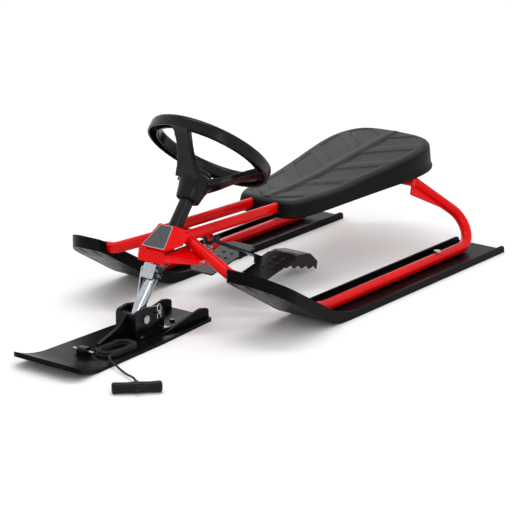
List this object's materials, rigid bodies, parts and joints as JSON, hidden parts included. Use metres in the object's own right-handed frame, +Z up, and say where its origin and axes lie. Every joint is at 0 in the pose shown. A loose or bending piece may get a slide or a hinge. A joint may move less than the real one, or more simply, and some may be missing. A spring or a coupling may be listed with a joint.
{
  "type": "steering sled",
  "caption": "Snow sled with a moulded seat on a bent tube frame, two channel runners, a wheel-steered front ski, a sprung toothed foot brake and a tow rope.",
  "frame": {"origin": "on the ground at the centre of the sled's bounding box, rope left out", "axes": "+X forward to the ski, +Y to the rider's left, +Z up"},
  "size_m": [1.1323, 0.52, 0.3947],
  "materials": {
    "red_paint": "gloss red powder coat on steel",
    "black_plastic": "moulded, fine satin grain",
    "black_paint": "semi-gloss black powder coat on steel",
    "zinc": "bright zinc plate",
    "rope": "braided polypropylene cord",
    "black_rubber": "push-on cap"
  },
  "bodies": {
    "frame": {"runner_left": "black_plastic", "runner_right": "black_plastic", "frame_tube_left": "red_paint", "frame_tube_right": "red_paint", "upper_bar_left": "red_paint", "upper_bar_right": "red_paint", "steering_head": "red_paint", "head_wing": "red_paint", "head_tube": "red_paint", "head_bush_upper": "black_plastic", "head_bush_lower": "black_plastic", "seat": "black_plastic", "seat_crossbar": "red_paint", "seat_bracket_left": "red_paint", "seat_bracket_right": "red_paint", "seat_screws": "zinc", "runner_bolts": "zinc", "brake_axle": "zinc", "axle_caps": "black_rubber", "axle_hangers": "red_paint", "spring_bracket": "red_paint", "spring_rod": "zinc", "brake_spring": "zinc"},
    "steering": {"steering_wheel": "black_plastic", "wheel_screw": "black_plastic", "steering_column": "black_paint", "fork_crown": "zinc", "fork_leg": "zinc", "crown_bolts": "zinc", "fork_stay": "zinc", "stay_rivet": "zinc"},
    "front_ski": {"ski_blade": "black_plastic", "ski_pedestal": "black_plastic", "pedestal_screws": "zinc", "pivot_bolt": "zinc", "pivot_nut": "zinc", "pivot_spacers": "zinc", "stay_pin": "zinc", "stay_clip": "zinc", "rope_anchor": "black_plastic", "anchor_pin": "zinc", "deck_knob": "black_plastic", "tow_rope_hank": "rope", "tow_rope_lead": "rope", "tow_handle": "black_plastic", "rope_knot": "rope"},
    "brake": {"brake_plate": "black_paint"}
  },
  "joints": [
    {"name": "steer", "type": "hinge", "parent": "frame", "child": "steering", "pos_m": [0.221, 0, 0.143], "axis": [-0.6428, 0, 0.766], "range_deg": [-30, 30]},
    {"name": "ski_pitch", "type": "hinge", "parent": "steering", "child": "front_ski", "pos_m": [0.3066, 0, 0.041], "axis": [0, 1, 0], "range_deg": [-10, 10]},
    {"name": "brake_press", "type": "hinge", "parent": "frame", "child": "brake", "pos_m": [0.119, 0, 0.156], "axis": [0, -1, 0], "range_deg": [0, 8], "stiffness_Nm_per_rad": 10, "springref_deg": -20.05, "deforming": ["brake_spring"]}
  ]
}
